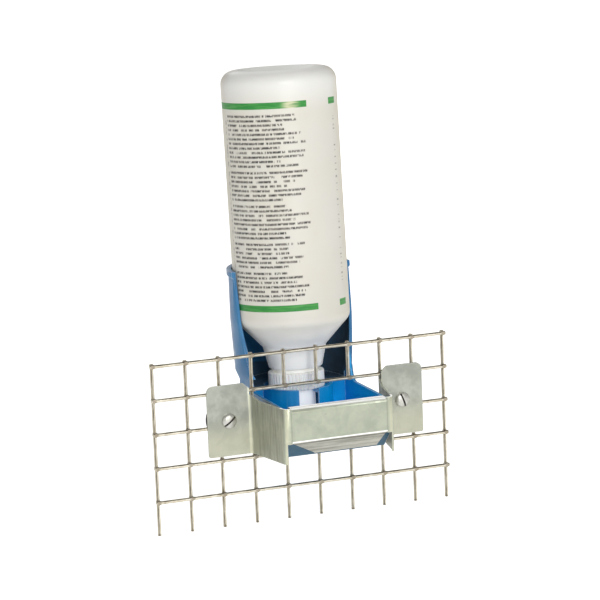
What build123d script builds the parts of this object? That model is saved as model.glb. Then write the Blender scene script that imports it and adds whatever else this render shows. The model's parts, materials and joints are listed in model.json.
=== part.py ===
from build123d import *
import math
import os

# Cage drinker: a 1 litre bottle stands upside down in a moulded holder with a drinking
# trough, and a folded strap bracket clamps the trough to a welded mesh panel.
#
# Row frame: origin on the trough's flat underside, midway between the clamp screws, on the
# mesh's middle plane. +X to the right seen from inside the cage, +Y out of the cage, +Z up.
# Millimetres.

# ---- welded mesh panel ----
CELL = 25.4                  # wire spacing, one inch
WIRE_D = 2.6
WIRE_OFFSET = 1.2            # each wire layer's distance from the middle plane
COLUMNS, ROWS = 10, 5
FIRST_COLUMN_X = -124.3
TOP_ROW_Z = 71.2
STUB_END_Z = -55.5           # free lower ends of the vertical wires
WIRE_OVERRUN = 1.9           # how far a cut or outer end passes the wire it is welded to
CUT_COLUMNS = (4, 5, 6)      # columns cut away for the trough
ROW_ABOVE_CUT, CUT_ROW, ROW_BELOW_CUT = 1, 2, 3
WELD_R, WELD_HALF = 1.75, 1.9   # each weld squeezes the wires out to this radius over this length
WELD_FLAT = 2.42             # and flattens their outer sides at this distance from the middle plane

# ---- strap bracket, one folded sheet ----
SHEET = 1.5
BEND_R = 4.0                 # centreline radius of the vertical bends
EAR_BACK_Y = -2.55
EAR_OUTER_X = 85.0
EAR_TOP_Z = 52.0
EAR_TOP_R, EAR_BOTTOM_R = 5.0, 1.5   # outer corners
EAR_CHAMFER = (6.0, 5.5)     # inner top corner, along X and Z
SIDE_X_AT_MESH = 51.5        # outer face of the side panels at the ears
SIDE_X_AT_FRONT = 42.6
SIDE_TOP_Z = 39.8
SIDE_RISE = (12.0, 3.0)      # the side panels rise toward the ears over this depth, by this much
SHEET_BOTTOM_Z = -1.3
FRONT_Y = -51.5              # outer face of the front panel
FRONT_FLAT_X = 37.0          # the hemmed and flanged part of the front, either side of the middle
CORNER_X = 40.6              # below the fold the corners are cut back to here
HEM_DEPTH = 6.5
FOLD_R = 2.6                 # centreline radius of the hem and flange folds
FLANGE_FOLD_Z = 15.0
FLANGE_RUN = 12.5            # the flange's run backward and its drop, at 45 degrees
FLANGE_TAPERS = {-1: 20.0, 1: 3.0}   # how far its left and right ends taper in

# ---- clamp screws, washers and wing nuts, M6 ----
SCREW_X, SCREW_Z = 68.5, 25.0
SCREW_R = 3.0
SCREW_LENGTH = 25.0
HEAD_R, HEAD_H = 5.6, 3.2
HEAD_RIM_H = 0.9
SLOT_W, SLOT_DEPTH = 1.4, 1.5
SLOT_ANGLES = {-1: 25.0, 1: 70.0}    # left and right, as the screws happen to stand
EAR_HOLE_R = 3.3
WASHER_R, WASHER_T, WASHER_BORE_R = 15.3, 2.0, 3.08
NUT_BORE_R = 3.05
NUT_H, NUT_R_BASE, NUT_R_TOP = 7.5, 5.6, 4.6
WING_SPAN, WING_H, WING_T = 32.0, 15.0, 2.6
LOOSE = 0.05                 # gap between faces that part when a joint moves

# ---- moulded holder with trough ----
WALL = 2.2
TROUGH_X = 41.0
TROUGH_FRONT_Y = -49.0
TROUGH_BACK_Y = 38.0
RIM_Z = 38.0
FLOOR_Z = 0.0
BEVEL = 15.0                 # 45 degree bevel along the trough's front bottom edge
TROUGH_CORNER_R = 4.0
CUP_R = 27.0
CUP_SLOT_W = 15.5
LEDGE_HOLE_R = 14.6
LEDGE_T = 2.4
SHELL_Y = 41.5               # the shell stands upright about here, and the bottle leans inside it
DECK_Z, DECK_T = 36.0, 2.2
CONE_R, CONE_BOTTOM_Z = 41.0, 42.5
SHELL_LOW_R, CONE_TOP_Z = 44.0, 50.0
SHELL_R, SHELL_FULL_Z = 46.0, 88.0
SHELL_TOP_Z = 126.5
LIP_R, LIP_H = 47.3, 4.0     # thicker lip around the shell's top
RISE_Y = 15.0                # where the trough's rim starts to rise toward the shell
SHELL_EDGE_YZ = [(24.5, 50.0), (27.5, 65.0), (32.5, 87.0), (38.5, 126.0)]

# ---- bottle axis: everything that carries the bottle is turned about it ----
AXIS_Y, SEAT_Z = 36.0, 35.0
LEAN = 3.3                   # degrees, backward
bottle_axis = Plane(
    origin=(0, AXIS_Y, SEAT_Z),
    x_dir=(1, 0, 0),
    z_dir=(0, math.sin(math.radians(LEAN)), math.cos(math.radians(LEAN))),
)

# ---- bottle, cap and nozzle, heights along the axis from the cap's seat ----
BOTTLE_R = 43.0
BOTTLE_WALL = 1.4
BOTTLE_TOP = 239.5
BASE_CORNER_R = 10.0
SHOULDER_R = 9.0
BASE_RECESS_R, BASE_RECESS, BASE_SLOPE = 30.0, 4.0, 8.0
NECK_R, COLLAR_R, COLLAR_TOP_R = 15.4, 20.0, 23.5
MOUTH, COLLAR_BOTTOM, COLLAR_TOP = 4.6, 15.8, 30.5
SHOULDER_BOTTOM, SHOULDER_TOP = 32.0, 52.5
CAP_R, CAP_H = 21.0, 12.8
CAP_FLOOR, CAP_BORE_R = 1.6, 17.3
CAP_RIBS, CAP_RIB_DEPTH = 48, 0.6
THREAD_PITCH, THREAD_W, THREAD_DEPTH = 4.0, 1.5, 1.3
THREAD_LENGTH = 5.5          # rise of each thread ridge along the axis
NECK_THREAD_Z = 6.4          # where the neck's ridge starts; the cap's starts half a pitch lower
NOZZLE_R, NOZZLE_BORE_R, NOZZLE_LENGTH = 13.5, 11.7, 18.0
FLANGE_R, FLANGE_T = 16.6, 1.2
SEAL_R, SEAL_BORE_R, SEAL_T = 15.4, 12.4, 1.4

PAST = 5.0                   # cutting shapes run this far past what they cut


def column_x(column):
    return FIRST_COLUMN_X + column * CELL


def row_z(row):
    return TOP_ROW_Z - row * CELL


def between(x0, x1, y0, y1, z0, z1):
    """A box from its two corners."""
    centre = ((x0 + x1) / 2, (y0 + y1) / 2, (z0 + z1) / 2)
    return Pos(*centre) * Box(abs(x1 - x0), abs(y1 - y0), abs(z1 - z0))


def side_view(outline):
    """A face in the YZ plane from an outline drawn in (Y, Z)."""
    return Plane.YZ * make_face(outline)


def revolved(points):
    """A solid of revolution about Z from (radius, height) points; a third number rounds that corner."""
    face = make_face(Polyline(*[(p[0], 0, p[1]) for p in points], close=True))
    for r, z, rounding in [p for p in points if len(p) == 3]:
        vertex = min(face.vertices(), key=lambda v: (v.X - r) ** 2 + (v.Z - z) ** 2)
        face = fillet(vertex, rounding)
    return revolve(face, Axis.Z)


def ring(outer, inner, low, high):
    """A plain ring about Z."""
    return revolved([(inner, low), (outer, low), (outer, high), (inner, high)])


# ---------------------------------------------------------------- mesh panel
def welded_wire(low, high, welds):
    """A wire along Z from low to high. Each weld bulges it, and flattens its +Y side."""
    wire = Pos(0, 0, (low + high) / 2) * Cylinder(WIRE_D / 2, high - low)
    core = WIRE_D / 2 - 0.1
    profile = ThreePointArc((core, 0, -WELD_HALF), (WELD_R, 0, 0), (core, 0, WELD_HALF))
    profile += Polyline((core, 0, WELD_HALF), (0, 0, WELD_HALF), (0, 0, -WELD_HALF), (core, 0, -WELD_HALF))
    bulge = revolve(make_face(profile), Axis.Z)
    flat = between(-PAST, PAST, WELD_FLAT - WIRE_OFFSET, PAST, -WELD_HALF, WELD_HALF)
    for weld in welds:
        wire += Pos(0, 0, weld) * bulge
    for weld in welds:
        wire -= Pos(0, 0, weld) * flat
    return wire


def vertical_wire(x, low, high):
    welds = [row_z(row) for row in range(ROWS) if low < row_z(row) < high]
    return Pos(x, WIRE_OFFSET, 0) * welded_wire(low, high, welds)


def horizontal_wire(z, left, right):
    welds = [column_x(column) for column in range(COLUMNS) if left < column_x(column) < right]
    if z == row_z(CUT_ROW):
        welds = [x for x in welds if x not in [column_x(column) for column in CUT_COLUMNS]]
    lying = Plane(origin=(0, -WIRE_OFFSET, z), x_dir=(0, 0, 1), z_dir=(1, 0, 0))
    return lying * welded_wire(left, right, welds)


def panel_horizontal_wires():
    left = column_x(0) - WIRE_OVERRUN
    right = column_x(COLUMNS - 1) + WIRE_OVERRUN
    cut_left = column_x(CUT_COLUMNS[0] - 1) + WIRE_OVERRUN
    cut_right = column_x(CUT_COLUMNS[-1] + 1) - WIRE_OVERRUN
    wires = []
    for row in range(ROWS):
        if row == CUT_ROW:
            wires.append(horizontal_wire(row_z(row), left, cut_left))
            wires.append(horizontal_wire(row_z(row), cut_right, right))
        else:
            wires.append(horizontal_wire(row_z(row), left, right))
    return Compound(children=wires)


def panel_vertical_wires():
    top = TOP_ROW_Z + WIRE_OVERRUN
    wires = []
    for column in range(COLUMNS):
        x = column_x(column)
        if column in CUT_COLUMNS:
            wires.append(vertical_wire(x, row_z(ROW_ABOVE_CUT) - WIRE_OVERRUN, top))
            wires.append(vertical_wire(x, STUB_END_Z, row_z(ROW_BELOW_CUT) + WIRE_OVERRUN))
        else:
            wires.append(vertical_wire(x, STUB_END_Z, top))
    return Compound(children=wires)


# ---------------------------------------------------------------- strap bracket
def bent_strip():
    """Ears, splayed side panels and front corners: one strip with four vertical bends."""
    half = SHEET / 2
    ear_y = EAR_BACK_Y - half
    right_half = [
        (SIDE_X_AT_FRONT - half, FRONT_Y + half),
        (SIDE_X_AT_MESH - half, ear_y),
        (EAR_OUTER_X, ear_y),
    ]
    path = [(-x, y) for x, y in reversed(right_half)] + right_half
    strip = extrude(trace(FilletPolyline(*path, radius=BEND_R), SHEET), EAR_TOP_Z - SHEET_BOTTOM_Z)
    strip = Pos(0, 0, SHEET_BOTTOM_Z) * strip

    # the side panels and the front are lower than the ears
    run, rise = SIDE_RISE
    above = Polyline(
        (FRONT_Y - PAST, SIDE_TOP_Z),
        (ear_y - run, SIDE_TOP_Z),
        (ear_y, SIDE_TOP_Z + rise),
        (PAST, SIDE_TOP_Z + rise),
        (PAST, EAR_TOP_Z + PAST),
        (FRONT_Y - PAST, EAR_TOP_Z + PAST),
        close=True,
    )
    strip -= extrude(side_view(above), SIDE_X_AT_MESH + half, both=True)
    # the flat front is left out here, and the corners are cut back below the fold
    low, high = SHEET_BOTTOM_Z - PAST, EAR_TOP_Z
    strip -= between(-FRONT_FLAT_X, FRONT_FLAT_X, FRONT_Y - PAST, FRONT_Y + PAST, low, high)
    strip -= between(-CORNER_X, CORNER_X, FRONT_Y - PAST, FRONT_Y + PAST, low, FLANGE_FOLD_Z - SHEET)
    return strip


def folded_front():
    """The flat front with its hem folded back along the top and its flange folded under."""
    front_y = FRONT_Y + SHEET / 2
    hem_z = SIDE_TOP_Z - SHEET / 2
    fold = FilletPolyline(
        (front_y + HEM_DEPTH, hem_z),
        (front_y, hem_z),
        (front_y, FLANGE_FOLD_Z),
        (front_y + FLANGE_RUN, FLANGE_FOLD_Z - FLANGE_RUN),
        radius=FOLD_R,
    )
    section = Plane.YZ.offset(-FRONT_FLAT_X) * trace(fold, SHEET)
    front = extrude(section, 2 * FRONT_FLAT_X, dir=(1, 0, 0))
    low = FLANGE_FOLD_Z - FLANGE_RUN
    for side, taper in FLANGE_TAPERS.items():
        corner = Polyline(
            (side * (FRONT_FLAT_X + 1), FLANGE_FOLD_Z - SHEET),
            (side * (FRONT_FLAT_X - 1), FLANGE_FOLD_Z - SHEET),
            (side * (FRONT_FLAT_X - 1 - taper), low),
            (side * (FRONT_FLAT_X - 1 - taper), low - PAST),
            (side * (FRONT_FLAT_X + 1), low - PAST),
            close=True,
        )
        cutter = Plane.XZ.offset(-FRONT_Y) * make_face(corner)
        front -= extrude(cutter, FLANGE_RUN + 2 * PAST, dir=(0, 1, 0))
    return front


def strap_bracket():
    bracket = bent_strip() + folded_front()
    ear_y = EAR_BACK_Y - SHEET / 2
    dx, dz = EAR_CHAMFER
    for side in (-1, 1):
        x = side * (SIDE_X_AT_MESH - SHEET / 2)
        inner_top_corner = Polyline(
            (x - side * PAST, EAR_TOP_Z + PAST),
            (x + side * dx, EAR_TOP_Z + PAST),
            (x + side * dx, EAR_TOP_Z),
            (x, EAR_TOP_Z - dz),
            (x - side * PAST, EAR_TOP_Z - dz),
            close=True,
        )
        bracket -= extrude(Plane.XZ * make_face(inner_top_corner), 2 * PAST, dir=(0, -1, 0))
        bracket -= Pos(side * SCREW_X, ear_y, SCREW_Z) * Rot(90, 0, 0) * Cylinder(EAR_HOLE_R, 3 * SHEET)

    outer = bracket.edges().filter_by(Axis.Y).filter_by(lambda e: abs(abs(e.center().X) - EAR_OUTER_X) < 0.1)
    bottom, top = outer.group_by(Axis.Z)
    return fillet(bottom, EAR_BOTTOM_R).fillet(EAR_TOP_R, top)


# ---------------------------------------------------------------- clamp hardware
def on_screw(side, y):
    """A plane on a clamp screw's axis whose normal points out of the cage, at the given depth."""
    return Plane(origin=(side * SCREW_X, y, SCREW_Z), x_dir=(1, 0, 0), z_dir=(0, 1, 0))


def clamp_screw(side):
    shank = Cylinder(SCREW_R, SCREW_LENGTH, align=(Align.CENTER, Align.CENTER, Align.MIN))
    shank = chamfer(shank.faces().sort_by(Axis.Z)[-1].edges(), 0.6)
    head = revolved([
        (0, -HEAD_H), (HEAD_R * 0.45, -HEAD_H, 3.0), (HEAD_R, -HEAD_RIM_H, 0.8), (HEAD_R, 0), (0, 0),
    ])
    slot = Rot(0, 0, SLOT_ANGLES[side]) * Pos(0, 0, -HEAD_H) * Box(3 * HEAD_R, SLOT_W, 2 * SLOT_DEPTH)
    return on_screw(side, EAR_BACK_Y - SHEET) * (shank + head - slot)


def rear_washer(side):
    front = WIRE_OFFSET + WIRE_D / 2 + LOOSE
    return on_screw(side, front) * ring(WASHER_R, WASHER_BORE_R, 0, WASHER_T)


def wing_nut(side):
    front = WIRE_OFFSET + WIRE_D / 2 + WASHER_T + 2 * LOOSE
    body = revolved([(0, 0), (NUT_R_BASE, 0), (NUT_R_TOP, NUT_H, 1.0), (0, NUT_H)])
    root, tip = NUT_R_TOP - 1.5, WING_SPAN / 2
    wing = make_face(Polyline(
        (root, 1.0), (tip - 5, 3.5), (tip, WING_H - 5), (tip - 1, WING_H), (tip - 6, WING_H), (root, NUT_H - 0.5),
        close=True,
    ))
    wing = fillet(wing.vertices().group_by(Axis.X)[-1] + wing.vertices().group_by(Axis.Y)[-1], 1.0)
    plate = extrude(Plane.XZ * wing, WING_T / 2, both=True)
    nut = body + plate + Rot(0, 0, 180) * plate - Cylinder(NUT_BORE_R, 4 * WING_H)
    return on_screw(side, front) * (Rot(0, 0, 90) * nut)


# ---------------------------------------------------------------- moulded holder
def trough_prism(inset):
    """The trough's outside, or with an inset its inside, which is open at the top."""
    front, back, low = TROUGH_FRONT_Y + inset, TROUGH_BACK_Y - inset, FLOOR_Z + inset
    high = RIM_Z + (PAST if inset else 0)
    step = BEVEL - inset * (2 - math.sqrt(2))
    outline = Polyline(
        (front, high), (front, low + step), (front + step, low), (back, low), (back, high), close=True
    )
    prism = extrude(side_view(outline), TROUGH_X - inset, both=True)
    corners = prism.edges().filter_by(Axis.Z).group_by(Axis.Y)[0]
    return fillet(corners, TROUGH_CORNER_R - inset / 2)


def bottle_holder():
    """One moulding: open trough, slotted cup with a ledge for the cap, cone and half-round shell."""
    trough = trough_prism(0) - trough_prism(WALL)
    inner_x = TROUGH_X - WALL

    # seen from the side, the walls sweep up from the rim into the shell's front edge
    rise_start, rise_end = (RISE_Y, RIM_Z), SHELL_EDGE_YZ[0]
    sweep_up = Spline(rise_start, rise_end, tangents=[(1, 0), (0.12, 1)])
    under = [rise_end, (AXIS_Y, rise_end[1]), (AXIS_Y, RIM_Z - 1), (RISE_Y, RIM_Z - 1), rise_start]
    walls = extrude(side_view(sweep_up + Polyline(*under)), TROUGH_X, both=True)
    walls -= between(-inner_x, inner_x, RISE_Y - PAST, AXIS_Y + PAST, RIM_Z - PAST, rise_end[1] + PAST)

    at_shell = Pos(0, SHELL_Y, 0)
    outside = [
        (CONE_R, DECK_Z), (CONE_R, CONE_BOTTOM_Z), (SHELL_LOW_R, CONE_TOP_Z), (SHELL_R, SHELL_FULL_Z),
        (SHELL_R, SHELL_TOP_Z - LIP_H - 1), (LIP_R, SHELL_TOP_Z - LIP_H), (LIP_R, SHELL_TOP_Z),
    ]
    lining = [
        (SHELL_R - WALL, SHELL_TOP_Z), (SHELL_R - WALL, SHELL_FULL_Z),
        (SHELL_LOW_R - WALL, CONE_TOP_Z), (CONE_R - WALL, CONE_BOTTOM_Z), (CONE_R - WALL, DECK_Z),
    ]
    walls -= at_shell * revolved(lining + [(0, DECK_Z), (0, SHELL_TOP_Z)])

    # only the part of the shell behind its front edge is there
    far, top = 2 * AXIS_Y + SHELL_R, SHELL_TOP_Z + PAST
    behind = [
        *SHELL_EDGE_YZ, (SHELL_EDGE_YZ[-1][0] + 2, top), (far, top), (far, FLOOR_Z), (AXIS_Y, FLOOR_Z),
        (AXIS_Y, RIM_Z), rise_start,
    ]
    shell = at_shell * revolved(outside + lining)
    shell &= extrude(side_view(sweep_up + Polyline(*behind)), LIP_R + PAST, both=True)
    shell -= between(-inner_x, inner_x, -PAST, AXIS_Y, RIM_Z - PAST, rise_end[1] - 3)

    deck = at_shell * revolved([(0, DECK_Z), (CONE_R, DECK_Z), (CONE_R, DECK_Z + DECK_T), (0, DECK_Z + DECK_T)])
    deck -= between(-CONE_R - PAST, CONE_R + PAST, -AXIS_Y, AXIS_Y, FLOOR_Z, SEAT_Z + CONE_R)

    at_cup = Pos(0, AXIS_Y, 0)
    cup = at_cup * revolved([(0, FLOOR_Z), (CUP_R, FLOOR_Z), (CUP_R, RIM_Z), (0, RIM_Z)])
    hollow_r, hollow_low, hollow_high = CUP_R - WALL, FLOOR_Z + WALL, RIM_Z + PAST
    hollow = at_cup * revolved([(0, hollow_low), (hollow_r, hollow_low), (hollow_r, hollow_high), (0, hollow_high)])
    ledge = bottle_axis * ring(CUP_R - WALL / 2, LEDGE_HOLE_R, -LEDGE_T, 0)
    half = CUP_SLOT_W / 2
    slot = between(-half, half, AXIS_Y - CUP_R - PAST, AXIS_Y, hollow_low, hollow_high)

    return (trough + walls + shell + deck + cup) - hollow + ledge - slot


# ---------------------------------------------------------------- bottle, cap, nozzle
def thread_ridge(radius, depth):
    """A helical ridge; a positive depth stands out of the radius, a negative one points inward."""
    path = Helix(THREAD_PITCH, THREAD_LENGTH, radius)
    start = Plane(origin=path @ 0, x_dir=(1, 0, 0), z_dir=path % 0)
    root = -0.25 if depth > 0 else 0.25
    base, crest = THREAD_W / 2, THREAD_W * 0.3
    profile = make_face(Polyline((root, -base), (depth, -crest), (depth, crest), (root, base), close=True))
    return sweep(start * profile, path=path, is_frenet=True)


def bottle():
    outside = revolved([
        (0, MOUTH),
        (NECK_R, MOUTH),
        (NECK_R, COLLAR_BOTTOM, 0.6),
        (COLLAR_R, COLLAR_BOTTOM, 1.2),
        (COLLAR_TOP_R, COLLAR_TOP),
        (COLLAR_TOP_R + 0.3, SHOULDER_BOTTOM, 3.0),
        (BOTTLE_R, SHOULDER_TOP, SHOULDER_R),
        (BOTTLE_R, BOTTLE_TOP, BASE_CORNER_R),
        (BASE_RECESS_R, BOTTLE_TOP, 2.0),
        (BASE_RECESS_R - BASE_SLOPE, BOTTLE_TOP - BASE_RECESS, 5.0),
        (0, BOTTLE_TOP - BASE_RECESS),
    ])
    top = BOTTLE_TOP - BOTTLE_WALL
    inside_r = BOTTLE_R - BOTTLE_WALL
    inside = revolved([
        (0, MOUTH - PAST),
        (NECK_R - BOTTLE_WALL, MOUTH - PAST),
        (NECK_R - BOTTLE_WALL, COLLAR_BOTTOM + BOTTLE_WALL),
        (COLLAR_R - BOTTLE_WALL, COLLAR_BOTTOM + BOTTLE_WALL),
        (COLLAR_TOP_R - BOTTLE_WALL, COLLAR_TOP),
        (COLLAR_TOP_R + 0.3 - BOTTLE_WALL, SHOULDER_BOTTOM),
        (inside_r, SHOULDER_TOP, SHOULDER_R),
        (inside_r, top, BASE_CORNER_R - BOTTLE_WALL),
        (BASE_RECESS_R, top),
        (BASE_RECESS_R - BASE_SLOPE, top - BASE_RECESS),
        (0, top - BASE_RECESS),
    ])
    thread = Pos(0, 0, NECK_THREAD_Z) * thread_ridge(NECK_R, THREAD_DEPTH)
    return bottle_axis * (outside - inside + thread)


def screw_cap():
    root = CAP_R - CAP_RIB_DEPTH
    rib = [(0.0, root), (0.25, CAP_R), (0.7, CAP_R), (0.95, root)]
    outline = []
    for number in range(CAP_RIBS):
        for share, radius in rib:
            angle = 2 * math.pi * (number + share) / CAP_RIBS
            outline.append((radius * math.cos(angle), radius * math.sin(angle)))
    body = extrude(make_face(Polyline(*outline, close=True)), CAP_H)
    body &= revolved([(0, 0), (CAP_R, 0, 1.2), (CAP_R, CAP_H, 0.8), (0, CAP_H)])
    body -= ring(CAP_BORE_R, 0, CAP_FLOOR, CAP_H + PAST)
    body -= Cylinder(NOZZLE_R + 0.1, 4 * CAP_FLOOR)
    body += Pos(0, 0, NECK_THREAD_Z - THREAD_PITCH / 2) * thread_ridge(CAP_BORE_R, -THREAD_DEPTH)
    return bottle_axis * body


def nozzle_tube():
    flange_low = CAP_FLOOR + LOOSE
    flange_high = flange_low + FLANGE_T
    return bottle_axis * revolved([
        (NOZZLE_BORE_R, -NOZZLE_LENGTH), (NOZZLE_R, -NOZZLE_LENGTH, 0.8), (NOZZLE_R, flange_low),
        (FLANGE_R, flange_low), (FLANGE_R, flange_high), (NOZZLE_BORE_R, flange_high),
    ])


def cap_seal():
    low = CAP_FLOOR + FLANGE_T + 2 * LOOSE
    return bottle_axis * ring(SEAL_R, SEAL_BORE_R, low, low + SEAL_T)


def main():
    os.makedirs("parts", exist_ok=True)
    for make in (
        panel_horizontal_wires, panel_vertical_wires, strap_bracket, bottle_holder,
        bottle, screw_cap, nozzle_tube, cap_seal,
    ):
        export_step(make(), f"parts/{make.__name__}.step")
    for name, side in (("left", -1), ("right", 1)):
        for make in (clamp_screw, rear_washer, wing_nut):
            export_step(make(side), f"parts/{name}_{make.__name__}.step")


main()
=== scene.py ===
import bmesh
import bpy
import json
import math
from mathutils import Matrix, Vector


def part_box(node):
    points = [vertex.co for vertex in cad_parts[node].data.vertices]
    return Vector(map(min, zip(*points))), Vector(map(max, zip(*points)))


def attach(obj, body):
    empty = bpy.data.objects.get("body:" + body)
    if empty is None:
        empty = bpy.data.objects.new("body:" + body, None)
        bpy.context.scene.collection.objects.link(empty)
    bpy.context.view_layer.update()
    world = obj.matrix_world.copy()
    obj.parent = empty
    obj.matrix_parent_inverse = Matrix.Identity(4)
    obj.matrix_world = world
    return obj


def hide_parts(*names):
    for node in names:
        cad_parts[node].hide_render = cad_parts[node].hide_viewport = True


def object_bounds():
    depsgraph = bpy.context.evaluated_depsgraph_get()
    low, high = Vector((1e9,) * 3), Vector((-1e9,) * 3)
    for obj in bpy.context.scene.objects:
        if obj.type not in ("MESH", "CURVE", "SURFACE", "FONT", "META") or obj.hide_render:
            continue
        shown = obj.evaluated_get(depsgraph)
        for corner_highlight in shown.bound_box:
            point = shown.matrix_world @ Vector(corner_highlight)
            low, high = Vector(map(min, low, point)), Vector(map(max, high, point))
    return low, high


# Studio scene for the cage drinker. Lengths are metres in the CAD frame: +X right, +Y out of
# the cage, +Z up, with the camera on the -Y side. Heights on the bottle run along its own axis.

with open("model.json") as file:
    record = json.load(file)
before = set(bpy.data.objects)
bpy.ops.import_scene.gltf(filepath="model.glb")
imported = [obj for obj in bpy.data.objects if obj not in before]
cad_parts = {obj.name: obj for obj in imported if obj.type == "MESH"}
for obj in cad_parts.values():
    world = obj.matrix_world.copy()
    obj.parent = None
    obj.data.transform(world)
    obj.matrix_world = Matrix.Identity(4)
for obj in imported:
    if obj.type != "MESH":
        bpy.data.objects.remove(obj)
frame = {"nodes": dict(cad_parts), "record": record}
cad_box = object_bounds()
NODES = frame["nodes"]
JOINTS = {joint["name"]: joint for joint in frame["record"]["behaviour"]["joints"]}

MM = 0.001

# ---- places read from the frame ----
AXIS_AT = Vector(JOINTS["bottle_turn"]["pos_m"])
AXIS_ALONG = Vector(JOINTS["bottle_turn"]["axis"]).normalized()
AXIS_DEPTH = AXIS_ALONG.cross(Vector((1, 0, 0)))      # square to the bottle, away from the camera
BOTTLE_LOW, BOTTLE_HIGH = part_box("bottle")
BOTTLE_R = (BOTTLE_HIGH.x - BOTTLE_LOW.x) / 2
HOLDER_LOW, HOLDER_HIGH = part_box("bottle_holder")
SHELL_TOP_Z = HOLDER_HIGH.z
SHELL_Y = HOLDER_HIGH.y - (HOLDER_HIGH.x - HOLDER_LOW.x) / 2
CELL = 25.4 * MM
WIRE_OVERRUN = 1.9 * MM                               # of a wire's end past the last crossing
FIRST_COLUMN_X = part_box("panel_horizontal_wires")[0].x + WIRE_OVERRUN
TOP_ROW_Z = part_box("panel_vertical_wires")[1].z - WIRE_OVERRUN

# ---- the bottle's generic print: bars and rows of dashes that spell nothing ----
# angles are degrees about the bottle's axis, from straight ahead, positive to the right
BAR_HALF = 2.4 * MM
BAR_HEIGHTS = (214.8 * MM, 65.4 * MM)
FRONT_PANEL = (-112.0, 7.0)
BACK_PANEL = (36.0, 49.0)
WORN_PART = (-16.0, -3.0)
ROW_PITCH = 3.325 * MM
ROW_FILL = (0.26, 0.76)                               # of the pitch
ROWS_IN_BLOCKS = (12, 7, 8, 6, 7)
FIRST_ROW = 209.0 * MM
BLOCK_GAP = 0.45                                      # of a row
TEXT_LEFT, TEXT_RIGHT = -85.0, 4.0
RAGGED = 27.0                                         # how far short a row may stop, degrees
DASH = 0.95 * MM
WORD = 4.6 * DASH
TICK_COLUMN, TICK_HEIGHTS = (42.0, 45.5), (78 * MM, 205 * MM)
EDGE_COLUMN, EDGE_HEIGHTS = (-90.5, -88.0), (72 * MM, 206 * MM)
VIEW_ANGLE = -20.0                                    # the camera's own angle about the bottle
NECK_GLOW = 0.10

# ---- places on the holder; a pair is where a change starts and where it is complete ----
RIM_Z = 38 * MM
TROUGH_X, TROUGH_Y = (-40 * MM, 40 * MM), (-48 * MM, 36.6 * MM)
BEVEL_SUM = -34 * MM                                  # y + z on the outside of the trough's bevel
SHADED_FRONT_Y = (-12 * MM, 4 * MM)
SHELL_WALL = (44.9 * MM, 45.4 * MM)                   # from the bottle's axis
DEEP_WALL, DEEP_Y = (45.6 * MM, 45.0 * MM), (29 * MM, 36 * MM)
UNWORN_Z = (70 * MM, 118 * MM)

# ---- places on the strap bracket ----
EAR_Y = (-14 * MM, -8 * MM)
WARM_Z = (30 * MM, 8 * MM)
FRONT_Y = (-43 * MM, -45 * MM)
CORNER_X, CREASE_X = (38.4 * MM, 41.2 * MM), (36.9 * MM, 37.5 * MM)
FLANGE_X = (37.3 * MM, 36.8 * MM)
FOLD_Z, SHADE_Z = (14.2 * MM, 15.3 * MM), (12.4 * MM, 13.4 * MM)
# where a painted shade line crosses the hem's top, and how strongly the painted highlights glow
HEM_SHADE_Y = (-48.6 * MM, -47.9 * MM)
HIGHLIGHT_GLOW = 0.28

# ---- small rounding of the CAD nodes' edges ----
EDGE_WIDTHS = {"bottle_holder": 0.45 * MM, "strap_bracket": 0.25 * MM, "screw_cap": 0.12 * MM}
SAME_POINT = 0.002 * MM
SAME_PLANE, SHARP_EDGE = 0.5, 28.0                    # degrees

# ---- clamp screws ----
HEAD_H, DOME_H, HEAD_CHAMFER = 3.2 * MM, 2.3 * MM, 0.15 * MM
DOME_TILTS = range(8, 91, 6)                          # degrees from the screw's axis
SCREW_R = 3.0 * MM
PITCH = 1.0 * MM
THREAD_DEPTH = 0.5 * MM
THREAD_START = 1.5 * PITCH                            # over which the thread comes to full depth
SCREW_END_TAPER = 0.8 * MM
SHANK_OVERLAP = 0.2 * MM                              # of the shank into the head
GROOVE_FULL, GROOVE_SLOPE = 1.15, 2.6                 # the thread's section over one pitch
RINGS_PER_PITCH = 10
ROUND = 40                                            # points around a turned part
SLOT_W, SLOT_DEPTH = 1.4 * MM, 1.5 * MM
SLOT_ANGLES = {"left": -38.0, "right": 70.0}
ON_WALL = 0.02 * MM
SHARP_TURNED = 38.0                                   # degrees

# ---- studio ----
CAMERA_AT = (-0.7551, -2.0293, 0.5291)
CAMERA_TURN = (78.976, 2.301, -20.660)                # degrees about X, Y and Z
CAMERA_LENS, CAMERA_SENSOR = 180.0, 36.0              # millimetres
CAMERA_REACH = 200.0
FLOOR_HALF = 40.0
FLOOR_GLOW = 0.75                                     # as the camera sees it
FLOOR_BOUNCE = 0.42                                   # as it lights the object
SKY = 0.40
LIGHTS = {
    # name: (place, size, watts)
    "key": ((-0.1, -2.6, 1.0), 1.0, 36.0),
    "fill": ((-2.4, -1.4, 1.2), 2.2, 4.0),
    "back": ((0.4, 2.4, 1.8), 1.8, 14.0),
}


def srgb(red, green, blue):
    """A linear colour from 0-255 display values."""
    def linear(value):
        value /= 255
        return value / 12.92 if value <= 0.04045 else ((value + 0.055) / 1.055) ** 2.4
    return (linear(red), linear(green), linear(blue), 1.0)


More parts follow.
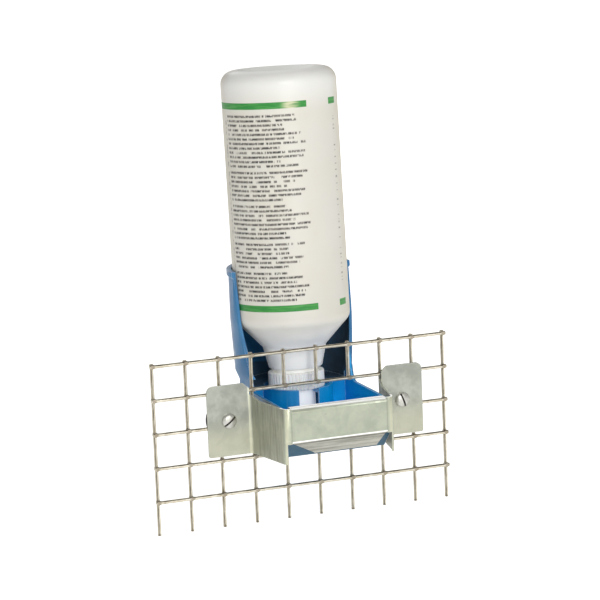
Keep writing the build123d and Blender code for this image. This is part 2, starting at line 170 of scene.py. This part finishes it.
# ---------------------------------------------------------------- node materials
class Shader:
    """A Principled material; each short call adds nodes and returns an output socket."""

    def __init__(self, name, **inputs):
        self.material = bpy.data.materials.new(name)
        self.material.use_nodes = True
        self.tree = self.material.node_tree
        self.surface = self.tree.nodes["Principled BSDF"]
        self.coordinates = self.tree.nodes.new("ShaderNodeTexCoord")
        self.place = self.coordinates.outputs["Object"]
        for key, value in inputs.items():
            self.set(key.replace("_", " ").title().replace("Ior", "IOR"), value)

    def plug(self, socket, value):
        if isinstance(value, bpy.types.NodeSocket):
            self.tree.links.new(value, socket)
        else:
            socket.default_value = value

    def set(self, name, value):
        self.plug(self.surface.inputs[name], value)

    def math(self, operation, *values, clamp=False):
        node = self.tree.nodes.new("ShaderNodeMath")
        node.operation = operation
        node.use_clamp = clamp
        for socket, value in zip(node.inputs, values):
            self.plug(socket, value)
        return node.outputs[0]

    def times(self, first, *others):
        for other in others:
            first = self.math("MULTIPLY", first, other)
        return first

    def plus(self, first, *others, clamp=False):
        for other in others:
            first = self.math("ADD", first, other, clamp=clamp)
        return first

    def minus(self, a, b):
        return self.math("SUBTRACT", a, b)

    def over(self, a, b):
        return self.math("DIVIDE", a, b)

    def away(self, value, centre=0.0):
        """How far the value is from the centre."""
        return self.math("ABSOLUTE", self.minus(value, centre))

    def length(self, a, b):
        return self.math("SQRT", self.plus(self.math("POWER", a, 2.0), self.math("POWER", b, 2.0)))

    def vector(self, operation, a, b):
        node = self.tree.nodes.new("ShaderNodeVectorMath")
        node.operation = operation
        self.plug(node.inputs[0], a)
        self.plug(node.inputs[1], b)
        return node.outputs["Value" if operation == "DOT_PRODUCT" else "Vector"]

    def split(self, vector):
        node = self.tree.nodes.new("ShaderNodeSeparateXYZ")
        self.plug(node.inputs[0], vector)
        return node.outputs[:]

    def join(self, x, y, z):
        node = self.tree.nodes.new("ShaderNodeCombineXYZ")
        for socket, value in zip(node.inputs, (x, y, z)):
            self.plug(socket, value)
        return node.outputs[0]

    def ramp(self, value, low, high, out_low=0.0, out_high=1.0):
        """The value from low..high, smoothed and held to out_low..out_high."""
        node = self.tree.nodes.new("ShaderNodeMapRange")
        node.interpolation_type = "SMOOTHSTEP"
        for socket, number in zip(node.inputs, (value, low, high, out_low, out_high)):
            self.plug(socket, number)
        return node.outputs["Result"]

    def band(self, value, low, high, soft):
        """One between low and high, falling to nothing over the soft width."""
        rise = self.ramp(value, low - soft, low + soft)
        return self.times(rise, self.ramp(value, high - soft, high + soft, 1.0, 0.0))

    def noise(self, scale, detail=3.0, roughness=0.5, place=None):
        node = self.tree.nodes.new("ShaderNodeTexNoise")
        self.plug(node.inputs["Vector"], place or self.place)
        node.inputs["Scale"].default_value = scale
        node.inputs["Detail"].default_value = detail
        node.inputs["Roughness"].default_value = roughness
        return node.outputs["Fac"]

    def streaks(self, x, y, z, detail=4.0, roughness=0.6):
        """Noise with its own scale in each direction."""
        return self.noise(1.0, detail, roughness, self.vector("MULTIPLY", self.place, (x, y, z)))

    def cells(self, scale, shift):
        """Random shades in irregular patches, such as zinc spangle."""
        node = self.tree.nodes.new("ShaderNodeTexVoronoi")
        self.plug(node.inputs["Vector"], self.vector("ADD", self.place, shift))
        node.inputs["Scale"].default_value = scale
        return self.split(node.outputs["Color"])[0]

    def random(self, value):
        node = self.tree.nodes.new("ShaderNodeTexWhiteNoise")
        node.noise_dimensions = "1D"
        self.plug(node.inputs["W"], value)
        return node.outputs["Value"]

    def mix(self, share, a, b):
        node = self.tree.nodes.new("ShaderNodeMix")
        node.data_type = "RGBA"
        self.plug(node.inputs["Factor"], share)
        self.plug(node.inputs["A"], a)
        self.plug(node.inputs["B"], b)
        return node.outputs["Result"]

    def normal(self):
        """The surface direction's X, Y and Z."""
        return self.split(self.coordinates.outputs["Normal"])

    def edges(self, radius):
        """One along rounded edges of about this radius, for wear and for painted edge highlights."""
        node = self.tree.nodes.new("ShaderNodeBevel")
        node.samples = 4
        node.inputs["Radius"].default_value = radius
        geometry = self.tree.nodes.new("ShaderNodeNewGeometry")
        facing = self.vector("DOT_PRODUCT", node.outputs[0], geometry.outputs["Normal"])
        return self.ramp(facing, 0.99, 0.80)

    def finish(self, colour, roughness, *relief):
        """Sets the colour and roughness, stacks fine relief (height, distance); the material."""
        self.set("Base Color", colour)
        self.set("Roughness", roughness)
        normal = None
        for height, distance in relief:
            node = self.tree.nodes.new("ShaderNodeBump")
            node.inputs["Distance"].default_value = distance
            self.plug(node.inputs["Height"], height)
            if normal:
                self.plug(node.inputs["Normal"], normal)
            normal = node.outputs[0]
        self.set("Normal", normal)
        return self.material


def about_bottle(shader):
    """(angle, radius, height) about the bottle's axis: degrees from straight ahead, metres, metres."""
    offset = shader.vector("SUBTRACT", shader.place, AXIS_AT)
    x = shader.split(offset)[0]
    depth = shader.vector("DOT_PRODUCT", offset, AXIS_DEPTH)
    height = shader.vector("DOT_PRODUCT", offset, AXIS_ALONG)
    angle = shader.math("ARCTAN2", x, shader.times(depth, -1.0))
    return shader.times(angle, 180 / math.pi), shader.length(x, depth), height


def text_rows(shader, arc, angle, height):
    """Rows of small irregular dashes with word gaps and a ragged right edge."""
    ink = 0.0
    top = FIRST_ROW
    for rows in ROWS_IN_BLOCKS:
        down = shader.over(shader.minus(top, height), ROW_PITCH)
        row = shader.math("FLOOR", down)
        across = shader.band(shader.math("FRACT", down), *ROW_FILL, 0.16)
        inside = shader.band(down, 0.0, rows, 0.02)
        seed = shader.random(shader.plus(row, 1000 * top))
        right = shader.ramp(seed, 0.0, 1.0, TEXT_RIGHT - RAGGED, TEXT_RIGHT)
        length = shader.math("LESS_THAN", angle, right)
        along = shader.plus(arc, seed)
        in_dash = shader.join(shader.over(along, DASH), shader.times(down, 0.9), seed)
        in_word = shader.join(shader.over(along, WORD), shader.times(row, 7.3), seed)
        dash = shader.ramp(shader.noise(1.0, 1.0, place=in_dash), 0.34, 0.46)
        word = shader.ramp(shader.noise(1.0, 0.0, place=in_word), 0.29, 0.34)
        mark = shader.times(dash, word, across, inside, length)
        ink = shader.plus(ink, mark, clamp=True)
        top -= (rows + BLOCK_GAP) * ROW_PITCH
    return shader.times(ink, shader.ramp(angle, TEXT_LEFT - 0.5, TEXT_LEFT + 0.5))


def bottle_material():
    shader = Shader("bottle_polyethylene", subsurface_weight=0.22, subsurface_scale=0.004,
                    subsurface_radius=(1.0, 0.9, 0.8), ior=1.5)
    angle, radius, height = about_bottle(shader)
    arc = shader.times(angle, BOTTLE_R * math.pi / 180)

    # milky plastic with a cloudy tone; painted shade towards the bottle's edges as the camera sees them, a
    # painted highlight at the base and painted light on the neck
    cream, white, neck = srgb(210, 200, 172), srgb(216, 213, 204), srgb(246, 246, 243)
    cloud = shader.ramp(shader.noise(28), 0.3, 0.7)
    plastic = shader.mix(cloud, white, shader.mix(0.8, cream, white))
    # painted highlight: paler towards the base, which is the bottle's top as it stands upside down
    base = shader.ramp(height, 205 * MM, 232 * MM, 0.0, 0.7)
    plastic = shader.mix(base, plastic, srgb(234, 234, 230))
    # painted light: the neck is painted paler
    lower = shader.ramp(height, 60 * MM, 30 * MM)
    plastic = shader.mix(lower, plastic, neck)
    # painted shade: the plastic is painted creamier and darker towards the bottle's edges as the camera sees
    # them
    from_view = shader.away(angle, VIEW_ANGLE)
    edge_shade = shader.ramp(from_view, 56.0, 92.0, 0.0, 0.6)
    edge_shade = shader.times(edge_shade, shader.ramp(from_view, 175.0, 95.0), shader.ramp(radius, 26 * MM, 40 * MM))
    plastic = shader.mix(edge_shade, plastic, cream)
    seam = shader.ramp(shader.away(shader.away(angle), 90.0), 0.9, 0.1)
    plastic = shader.mix(shader.times(seam, 0.18), plastic, cream)

    # green bars, worn near one corner
    on_body = shader.ramp(radius, BOTTLE_R - 0.6 * MM, BOTTLE_R - 0.3 * MM)
    panels = shader.plus(shader.band(angle, *FRONT_PANEL, 0.3), shader.band(angle, *BACK_PANEL, 0.3))
    bars = shader.plus(*(
        shader.band(height, bar - BAR_HALF, bar + BAR_HALF, 0.1 * MM) for bar in BAR_HEIGHTS))
    bars = shader.times(bars, panels, on_body)
    along_bar = shader.join(shader.times(arc, 60), shader.times(height, 700), 0.0)
    streak = shader.noise(1.0, 2.0, 0.6, along_bar)
    green = shader.mix(shader.ramp(streak, 0.35, 0.7), srgb(34, 134, 50), srgb(72, 156, 72))
    worn = shader.times(shader.band(angle, *WORN_PART, 5.0), shader.ramp(height, 150 * MM, 180 * MM))
    worn = shader.times(worn, shader.ramp(streak, 0.35, 0.6))
    green = shader.mix(worn, green, srgb(205, 205, 165))

    # rows of dashes, a column of ticks and a column of marks at the left edge
    text = shader.times(text_rows(shader, arc, angle, height), on_body)
    down_bottle = shader.join(0.0, 0.0, shader.times(height, 420))
    ticks = shader.ramp(shader.noise(1.0, 1.0, place=down_bottle), 0.54, 0.6)
    ticks = shader.times(ticks, shader.band(angle, *TICK_COLUMN, 0.4), shader.band(height, *TICK_HEIGHTS, MM))
    marks = shader.times(shader.band(angle, *EDGE_COLUMN, 0.4), shader.band(height, *EDGE_HEIGHTS, MM))
    marks = shader.times(marks, shader.ramp(shader.noise(520, 1.0), 0.45, 0.6))
    black = shader.plus(text, shader.times(shader.plus(ticks, marks), 0.6), clamp=True)
    faded = shader.ramp(shader.noise(420, 2.0), 0.35, 0.65)
    ink = shader.mix(faded, srgb(58, 57, 54), srgb(132, 127, 118))

    colour = shader.mix(bars, plastic, green)
    colour = shader.mix(shader.times(black, on_body), colour, ink)
    # painted light: the neck glows, standing in for light through the plastic
    shader.set("Emission Color", neck)
    shader.set("Emission Strength", shader.times(lower, NECK_GLOW))
    return shader.finish(
        colour,
        shader.ramp(shader.noise(60, 4.0), 0.3, 0.7, 0.34, 0.46),
        (seam, 0.18 * MM),
        (shader.noise(45, 2.0), 0.35 * MM),
        (shader.noise(1800, 2.0), 0.02 * MM),
    )


def white_plastic(name, colour, shade, glow):
    """The harder moulded white of the cap and nozzle, with faint dirt, painted highlights along the edges and
    a painted glow.
    """
    shader = Shader(name, subsurface_weight=0.1, subsurface_scale=0.002, ior=1.5)
    dirt = shader.ramp(shader.noise(160, 4.0, 0.6), 0.48, 0.72, 0.0, 0.35)
    base = shader.mix(dirt, colour, shade)
    # painted highlight along the edges
    base = shader.mix(shader.times(shader.edges(0.5 * MM), 0.35), base, srgb(248, 248, 246))
    # painted light: the part glows by the given amount
    shader.set("Emission Color", colour)
    shader.set("Emission Strength", glow)
    return shader.finish(
        base,
        shader.ramp(shader.noise(90), 0.3, 0.7, 0.36, 0.52),
        (shader.noise(1500, 2.0), 0.03 * MM),
        (shader.noise(70, 2.0), 0.12 * MM),
    )


def rubber_material():
    shader = Shader("seal_rubber")
    return shader.finish(
        shader.mix(shader.noise(400), srgb(196, 194, 186), srgb(168, 166, 158)),
        shader.ramp(shader.noise(200), 0.3, 0.7, 0.7, 0.85),
        (shader.noise(1400, 2.0), 0.05 * MM),
    )


def inside_shell(shader, radius, x, y, z):
    """One on the shell's inner side, by place and by facing the shell's own axis; it masks the painted shade.
    """
    deep = shader.times(shader.ramp(radius, *DEEP_WALL), shader.ramp(y, *DEEP_Y))
    deep = shader.times(deep, shader.band(z, RIM_Z - 0.5 * MM, SHELL_TOP_Z - MM, 0.3 * MM))
    along_x, along_y, along_z = shader.normal()
    outward = shader.plus(shader.times(along_x, x), shader.times(along_y, shader.minus(y, SHELL_Y)))
    outward = shader.minus(outward, shader.times(along_z, 12 * MM))
    return shader.times(deep, shader.ramp(outward, 4 * MM, -4 * MM))


def holder_material():
    """Blue moulding: painted light inside the trough, painted shadow below its front, painted shade deep in
    the shell.
    """
    shader = Shader("holder_blue", ior=1.5)
    radius = about_bottle(shader)[1]
    x, y, z = shader.split(shader.place)
    mottle = shader.ramp(shader.noise(35, 4.0, 0.55), 0.3, 0.7)
    # painted light: the trough's inside gets a brighter blue than the outside, brighter still towards the
    # right
    inside = shader.mix(mottle, srgb(2, 136, 202), srgb(4, 144, 212))
    inside = shader.mix(shader.ramp(x, 0.0, 30 * MM), inside, srgb(3, 168, 238))
    outside = shader.mix(mottle, srgb(30, 106, 158), srgb(46, 118, 166))
    shaded = shader.mix(mottle, srgb(20, 74, 98), srgb(28, 82, 106))
    trough_outside = shader.mix(shader.ramp(y, *SHADED_FRONT_Y), shaded, outside)
    in_trough = shader.times(shader.band(x, *TROUGH_X, 0.4 * MM), shader.ramp(z, MM, 2 * MM))
    in_trough = shader.times(in_trough, shader.band(y, *TROUGH_Y, 0.4 * MM))
    above_bevel = shader.ramp(shader.plus(y, z), BEVEL_SUM + MM, BEVEL_SUM + 2 * MM)
    trough = shader.mix(shader.times(in_trough, above_bevel), trough_outside, inside)

    weight = shader.tree.nodes.new("ShaderNodeLayerWeight")
    weight.inputs["Blend"].default_value = 0.5
    sheen = shader.ramp(weight.outputs["Facing"], 0.62, 0.98, 0.0, 0.55)
    shell = shader.mix(sheen, outside, srgb(160, 158, 176))
    on_shell = shader.ramp(radius, *SHELL_WALL)
    on_shell = shader.times(on_shell, shader.ramp(z, RIM_Z - 2 * MM, RIM_Z + 14 * MM))
    blue = shader.mix(on_shell, trough, shell)
    # painted shade: deep in the shell the blue is painted dark, with less gloss and more roughness
    deep = inside_shell(shader, radius, x, y, z)
    blue = shader.mix(deep, blue, shader.mix(mottle, srgb(56, 72, 86), srgb(62, 96, 124)))

    # drawn streaks and scuffs from the mould and from use
    scuff = shader.ramp(shader.streaks(260, 260, 22, 5.0, 0.65), 0.56, 0.74)
    scuff = shader.times(scuff, shader.minus(1.0, deep), 0.16)
    blue = shader.mix(scuff, blue, srgb(150, 180, 205))
    wear = shader.times(shader.edges(0.9 * MM), shader.ramp(shader.noise(140, 4.0), 0.25, 0.5))
    wear = shader.times(wear, shader.minus(1.0, shader.band(z, *UNWORN_Z, 8 * MM)), 0.75)
    blue = shader.mix(wear, blue, srgb(196, 212, 220))
    rough = shader.ramp(shader.noise(80, 4.0), 0.3, 0.7, 0.30, 0.46)
    shader.set("Specular IOR Level", shader.minus(0.5, shader.times(deep, 0.42)))
    return shader.finish(
        blue,
        shader.plus(rough, shader.times(deep, 0.4)),
        (shader.noise(1100, 2.0), 0.03 * MM),
        (shader.noise(40, 2.0), 0.25 * MM),
    )


def sheet_material():
    """Galvanised sheet: faint spangle, drawing streaks, painted highlights on edges and bends, painted shade
    on the sides and under the fold, and a warm lower half.
    """
    shader = Shader("galvanised_sheet", metallic=0.55)
    x, y, z = shader.split(shader.place)
    along_x, _, along_z = shader.normal()
    across = shader.away(x)
    sideways = shader.away(along_x)
    at_front = shader.ramp(y, *FRONT_Y)
    spangle = shader.cells(210, (0.3, 0.1, 0.2))
    mottle = shader.noise(75, 5.0, 0.6)
    streaks = shader.streaks(90, 420, 30)

    # the front panel, the ears, the side panels, the bends beside them and the flange
    front = shader.mix(shader.ramp(mottle, 0.35, 0.68), srgb(184, 190, 171), srgb(170, 176, 158))
    ear = shader.mix(shader.ramp(mottle, 0.35, 0.65), srgb(184, 187, 176), srgb(158, 161, 151))
    ear = shader.mix(shader.ramp(z, *WARM_Z, 0.0, 0.8), ear, srgb(194, 194, 172))
    metal = shader.mix(shader.ramp(y, *EAR_Y), front, ear)
    # painted shade: the side panels, facing sideways, are painted darker than the front
    side = shader.mix(shader.ramp(streaks, 0.36, 0.66), srgb(178, 180, 162), srgb(148, 149, 133))
    metal = shader.mix(shader.ramp(sideways, 0.75, 0.95), metal, side)
    # painted highlight across the rounded bends
    bend_highlight = shader.times(shader.band(sideways, 0.22, 0.72, 0.12), 0.6)
    metal = shader.mix(bend_highlight, metal, srgb(226, 226, 196))
    flange_streaks = shader.ramp(shader.streaks(22, 500, 500), 0.35, 0.65)
    flange = shader.mix(flange_streaks, srgb(200, 198, 186), srgb(150, 148, 136))
    metal = shader.mix(shader.ramp(along_z, -0.35, -0.6), metal, flange)
    # painted highlight along the front's rounded corners, then a painted shade line where they meet the flat
    # front
    corner_highlight = shader.times(shader.band(across, *CORNER_X, 0.7 * MM), at_front, 0.55)
    metal = shader.mix(corner_highlight, metal, srgb(212, 212, 186))
    crease_shade = shader.times(shader.band(across, *CREASE_X, 0.3 * MM), at_front, 0.45)
    metal = shader.mix(crease_shade, metal, srgb(120, 122, 104))

    # painted highlights, which also glow, on the hem's top and the flange's fold, with painted shade lines
    # across the hem's top and under the fold
    between_sides = shader.times(at_front, shader.ramp(across, *FLANGE_X))
    hem = shader.times(shader.ramp(along_z, 0.5, 0.8), at_front)
    fold = shader.times(shader.band(z, *FOLD_Z, 0.3 * MM), between_sides)
    painted_highlight = shader.plus(hem, fold, clamp=True)
    metal = shader.mix(painted_highlight, metal, srgb(250, 250, 246))
    shade = shader.times(shader.band(z, *SHADE_Z, 0.3 * MM), between_sides)
    hem_shade_line = shader.times(hem, shader.band(y, *HEM_SHADE_Y, 0.25 * MM))
    metal = shader.mix(shader.times(shader.plus(shade, hem_shade_line), 0.7), metal, srgb(92, 90, 82))
    shader.set("Emission Color", (1.0, 1.0, 1.0, 1.0))
    shader.set("Emission Strength", shader.times(shader.minus(painted_highlight, hem_shade_line), HIGHLIGHT_GLOW))

    metal = shader.mix(shader.ramp(spangle, 0.0, 1.0, 0.0, 0.10), metal, srgb(140, 144, 138))
    # painted highlight along the edges
    metal = shader.mix(shader.times(shader.edges(0.5 * MM), 0.7), metal, srgb(242, 242, 232))
    spots = shader.ramp(shader.noise(420, 3.0, 0.7), 0.66, 0.74, 0.0, 0.3)
    metal = shader.mix(spots, metal, srgb(128, 124, 108))
    return shader.finish(
        metal,
        shader.ramp(spangle, 0.0, 1.0, 0.36, 0.50),
        (shader.noise(60), 0.20 * MM),
        (streaks, 0.05 * MM),
        (shader.noise(900), 0.02 * MM),
    )


def wire_material(name, across, line_at):
    """Galvanised wire: dull tan zinc, burnt spots at the welds, painted shade on one side and a painted dark
    line of shade.

    The painted line of shade lies where the surface direction's part along one axis (0 for X, 2 for Z) is
    within the pair line_at.
    """
    shader = Shader(name, metallic=0.45)
    x, _, z = shader.split(shader.place)
    patches = shader.ramp(shader.noise(140, 4.0, 0.6), 0.3, 0.7)
    tan = shader.mix(patches, srgb(236, 230, 212), srgb(208, 199, 176))
    drips = shader.ramp(shader.streaks(300, 600, 120, 3.0), 0.58, 0.72, 0.0, 0.45)
    tan = shader.mix(drips, tan, srgb(150, 134, 104))
    off_x = shader.math("PINGPONG", shader.minus(x, FIRST_COLUMN_X), CELL / 2)
    off_z = shader.math("PINGPONG", shader.minus(z, TOP_ROW_Z), CELL / 2)
    ragged = shader.ramp(shader.noise(600), 0, 1, -MM, MM)
    from_weld = shader.plus(shader.length(off_x, off_z), ragged)
    burnt = shader.ramp(from_weld, 2.4 * MM, 1.0 * MM, 0.0, 0.6)
    tan = shader.mix(burnt, tan, srgb(112, 94, 70))
    facing = shader.normal()[across]
    # painted shade: the undersides of the horizontal wires and the left sides of the uprights are painted
    # darker
    tan = shader.mix(shader.ramp(facing, -0.55, -0.9, 0.0, 0.4), tan, srgb(134, 118, 88))
    # painted shade: a broken dark line along each wire
    broken = shader.ramp(shader.noise(110), 0.3, 0.6, 0.6, 1.0)
    line = shader.times(shader.band(facing, *line_at, 0.14), broken)
    return shader.finish(
        shader.mix(line, tan, srgb(62, 52, 38)),
        shader.ramp(shader.noise(200), 0.3, 0.7, 0.34, 0.52),
        (shader.noise(320, 4.0, 0.6), 0.16 * MM),
        (shader.noise(1400, 2.0), 0.03 * MM),
    )


def zinc_material(name, cast):
    """Bright zinc plate; a cast part is duller and its surface uneven."""
    shader = Shader(name, metallic=0.85)
    bright, dull = srgb(210, 209, 202), srgb(160, 158, 148)
    patches = shader.ramp(shader.noise(150), 0.40, 0.8, 0.0, 0.7)
    return shader.finish(
        shader.mix(patches, dull if cast else bright, bright if cast else dull),
        shader.ramp(shader.noise(420), 0.3, 0.7, 0.30, 0.50),
        (shader.streaks(1400, 120, 1400, 3.0), 0.03 * MM),
        (shader.noise(260), (0.20 if cast else 0.05) * MM),
    )


def black_material():
    shader = Shader("washer_black", metallic=0.4)
    scratch = shader.ramp(shader.streaks(90, 400, 800, 4.0, 0.7), 0.6, 0.72, 0.0, 0.5)
    base = shader.mix(scratch, srgb(26, 26, 27), srgb(92, 92, 90))
    base = shader.mix(shader.times(shader.edges(0.4 * MM), 0.5), base, srgb(120, 120, 118))
    return shader.finish(
        base,
        shader.ramp(shader.noise(160), 0.3, 0.7, 0.38, 0.6),
        (shader.noise(700), 0.04 * MM),
    )


def slot_shade_material():
    """Painted shade: a dark material in the screw slots."""
    shader = Shader("slot_painted_shade", metallic=0.1)
    return shader.finish(
        shader.mix(shader.noise(900), srgb(38, 34, 30), srgb(84, 78, 70)),
        shader.ramp(shader.noise(500), 0.3, 0.7, 0.7, 0.9),
        (shader.noise(1500), 0.1 * MM),
    )


def floor_material():
    shader = Shader("pale_floor", roughness=0.9)
    tone = shader.ramp(shader.noise(3.0), 0.3, 0.7)
    shader.set("Base Color", shader.mix(tone, srgb(250, 250, 250), srgb(246, 246, 245)))
    shader.set("Emission Color", (1.0, 1.0, 1.0, 1.0))
    path = shader.tree.nodes.new("ShaderNodeLightPath")
    seen = shader.ramp(path.outputs["Is Camera Ray"], 0.0, 1.0, FLOOR_BOUNCE, FLOOR_GLOW)
    shader.set("Emission Strength", seen)
    return shader.material


# ---------------------------------------------------------------- finish on the CAD nodes
def soften(node, width):
    """Rounds a CAD node's sharp edges a little."""
    weld = node.modifiers.new("weld", "WELD")
    weld.merge_threshold = SAME_POINT
    flat = node.modifiers.new("flat", "DECIMATE")
    flat.decimate_type = "DISSOLVE"
    flat.angle_limit = math.radians(SAME_PLANE)
    bevel = node.modifiers.new("bevel", "BEVEL")
    bevel.width = width
    bevel.segments = 2
    bevel.limit_method = "ANGLE"
    bevel.angle_limit = math.radians(SHARP_EDGE)
    bevel.harden_normals = True


def paint(piece, *materials):
    piece.data.materials.clear()
    for material in materials:
        piece.data.materials.append(material)


def finish_nodes():
    zinc = zinc_material("zinc_turned", cast=False)
    cast_zinc = zinc_material("zinc_cast", cast=True)
    black = black_material()
    # painted shade for the screw slots
    slot_shade = slot_shade_material()
    finishes = {
        "bottle": bottle_material(),
        # the last number of each white part is its painted glow, strongest on the nozzle in its slot
        "screw_cap": white_plastic("cap_white", srgb(248, 248, 244), srgb(222, 220, 210), 0.06),
        "nozzle_tube": white_plastic("nozzle_white", srgb(250, 250, 249), srgb(228, 228, 222), 0.27),
        "cap_seal": rubber_material(),
        "bottle_holder": holder_material(),
        "strap_bracket": sheet_material(),
        "panel_horizontal_wires": wire_material("galvanised_wire_across", 2, (0.42, 0.95)),
        "panel_vertical_wires": wire_material("galvanised_wire_upright", 0, (-0.62, -0.14)),
    }
    for side in ("left", "right"):
        finishes[f"{side}_clamp_screw"] = zinc
        finishes[f"{side}_rear_washer"] = black
        finishes[f"{side}_wing_nut"] = cast_zinc
        clamp_screw(side, zinc, slot_shade)
    for name, material in finishes.items():
        paint(NODES[name], material)
    for name, width in EDGE_WIDTHS.items():
        soften(NODES[name], width)


# ---------------------------------------------------------------- clamp screws with cut threads
def turned(name, at, rings):
    """A closed turned mesh along +Y from the given point; a ring is (distance, radius at an angle)."""
    points, faces = [], []
    for along, radius in rings:
        for step in range(ROUND):
            angle = 2 * math.pi * step / ROUND
            r = radius(angle)
            points.append(at + Vector((r * math.cos(angle), along, r * math.sin(angle))))
    for ring in range(len(rings) - 1):
        for step in range(ROUND):
            a, b = ring * ROUND + step, ring * ROUND + (step + 1) % ROUND
            faces.append((a, b, b + ROUND, a + ROUND))
    first, last = len(points), len(points) + 1
    points += [at + Vector((0, rings[0][0], 0)), at + Vector((0, rings[-1][0], 0))]
    end = (len(rings) - 1) * ROUND
    for step in range(ROUND):
        after = (step + 1) % ROUND
        faces.append((first, after, step))
        faces.append((last, end + step, end + after))
    return closed_piece(name, points, faces)


def closed_piece(name, points, faces):
    """A new object from points and faces, with all faces turned outward."""
    mesh = bpy.data.meshes.new(name)
    mesh.from_pydata(points, [], faces)
    work = bmesh.new()
    work.from_mesh(mesh)
    bmesh.ops.recalc_face_normals(work, faces=work.faces)
    work.to_mesh(mesh)
    work.free()
    piece = bpy.data.objects.new(name, mesh)
    bpy.context.scene.collection.objects.link(piece)
    return piece


def cut(piece, cutter):
    """Cuts the cutter's shape out of a piece and removes the cutter."""
    slot = piece.modifiers.new("slot", "BOOLEAN")
    slot.object = cutter
    slot.solver = "EXACT"
    bpy.context.view_layer.update()
    solved = piece.evaluated_get(bpy.context.evaluated_depsgraph_get())
    piece.data = bpy.data.meshes.new_from_object(solved)
    piece.modifiers.clear()
    bpy.data.objects.remove(cutter)


def slot_cutter(at, angle, reach):
    """A box across the head, SLOT_DEPTH into it; the angle turns it about the screw's axis."""
    along = Vector((math.cos(angle), 0, -math.sin(angle)))
    across = Vector((math.sin(angle), 0, math.cos(angle)))
    points = []
    for depth in (-HEAD_H, SLOT_DEPTH):
        for end, side in ((-1, -1), (1, -1), (1, 1), (-1, 1)):
            points.append(at + end * reach * along + side * SLOT_W / 2 * across + Vector((0, depth, 0)))
    sides = [(0, 1, 5, 4), (1, 2, 6, 5), (2, 3, 7, 6), (3, 0, 4, 7)]
    return closed_piece("slot_cutter", points, [(0, 3, 2, 1), (4, 5, 6, 7)] + sides)


def in_slot(centre, angle):
    """Whether a face's centre lies on the slot's walls or floor."""
    off = abs(centre.x * math.sin(angle) + centre.z * math.cos(angle))
    floor = abs(centre.y - SLOT_DEPTH) < ON_WALL and off < SLOT_W / 2
    return floor or abs(off - SLOT_W / 2) < ON_WALL


def screw_rings(length):
    """The shank's rings: a helical groove cut into it, with a tapered end."""
    start = HEAD_H - SHANK_OVERLAP
    count = int((length - start) / (PITCH / RINGS_PER_PITCH))

    def ring(along):
        depth = THREAD_DEPTH * min(1.0, (along - start) / THREAD_START)
        taper = max(0.0, along - length + SCREW_END_TAPER)

        def radius(angle):
            phase = (along / PITCH + angle / (2 * math.pi)) % 1.0
            groove = max(0.0, GROOVE_FULL - GROOVE_SLOPE * abs(phase - 0.5))
            return min(SCREW_R - depth * min(1.0, groove), SCREW_R - taper)
        return along, radius
    return [ring(start + (length - start) * number / count) for number in range(count + 1)]


def clamp_screw(side, material, slot_shade):
    """A round head with its slot painted dark for shade, and an M6 shank with its thread cut."""
    low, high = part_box(f"{side}_clamp_screw")
    at = Vector(((low.x + high.x) / 2, low.y, (low.z + high.z) / 2))
    head_r = (high.x - low.x) / 2
    slot_angle = math.radians(SLOT_ANGLES[side])
    dome = []
    for tilt in DOME_TILTS:
        turn = math.radians(tilt)
        dome.append((DOME_H * (1 - math.cos(turn)), lambda _, r=head_r * math.sin(turn): r))
    dome.append((HEAD_H - HEAD_CHAMFER, lambda _: head_r))
    dome.append((HEAD_H, lambda _: head_r - HEAD_CHAMFER))
    head = turned(f"{side}_screw_head", at, dome)
    cut(head, slot_cutter(at, slot_angle, 2 * head_r))
    paint(head, material, slot_shade)
    for face in head.data.polygons:
        face.material_index = int(in_slot(face.center - at, slot_angle))
    shank = turned(f"{side}_screw_shank", at, screw_rings(high.y - low.y))
    paint(shank, material)
    for piece in (head, shank):
        for face in piece.data.polygons:
            face.use_smooth = True
        piece.data.set_sharp_from_angle(angle=math.radians(SHARP_TURNED))
        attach(piece, "cage_side")
        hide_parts(f"{side}_clamp_screw")


# ---------------------------------------------------------------- studio
def studio():
    scene = bpy.context.scene
    scene.view_settings.view_transform = "Standard"
    camera = bpy.data.objects.new("camera", bpy.data.cameras.new("camera"))
    camera.location = CAMERA_AT
    camera.rotation_euler = [math.radians(turn) for turn in CAMERA_TURN]
    camera.data.lens = CAMERA_LENS
    camera.data.sensor_width = CAMERA_SENSOR
    camera.data.clip_end = CAMERA_REACH
    scene.collection.objects.link(camera)
    scene.camera = camera

    middle = (cad_box[0] + cad_box[1]) / 2
    for name, (place, size, watts) in LIGHTS.items():
        light = bpy.data.lights.new(name, "AREA")
        light.shape = "DISK"
        light.size = size
        light.energy = watts
        lamp = bpy.data.objects.new(name, light)
        lamp.location = place
        lamp.rotation_euler = (middle - Vector(place)).to_track_quat("-Z", "Y").to_euler()
        scene.collection.objects.link(lamp)

    world = bpy.data.worlds.new("soft_white")
    world.use_nodes = True
    background = world.node_tree.nodes["Background"]
    background.inputs["Color"].default_value = (1.0, 1.0, 1.0, 1.0)
    background.inputs["Strength"].default_value = SKY
    scene.world = world

    floor = bpy.data.meshes.new("floor")
    low = cad_box[0].z
    corners = [(x * FLOOR_HALF, y * FLOOR_HALF, low) for x, y in ((-1, -1), (1, -1), (1, 1), (-1, 1))]
    floor.from_pydata(corners, [], [(0, 1, 2, 3)])
    floor.materials.append(floor_material())
    ground = bpy.data.objects.new("floor", floor)
    scene.collection.objects.link(ground)


finish_nodes()
studio()

bpy.context.view_layer.update()
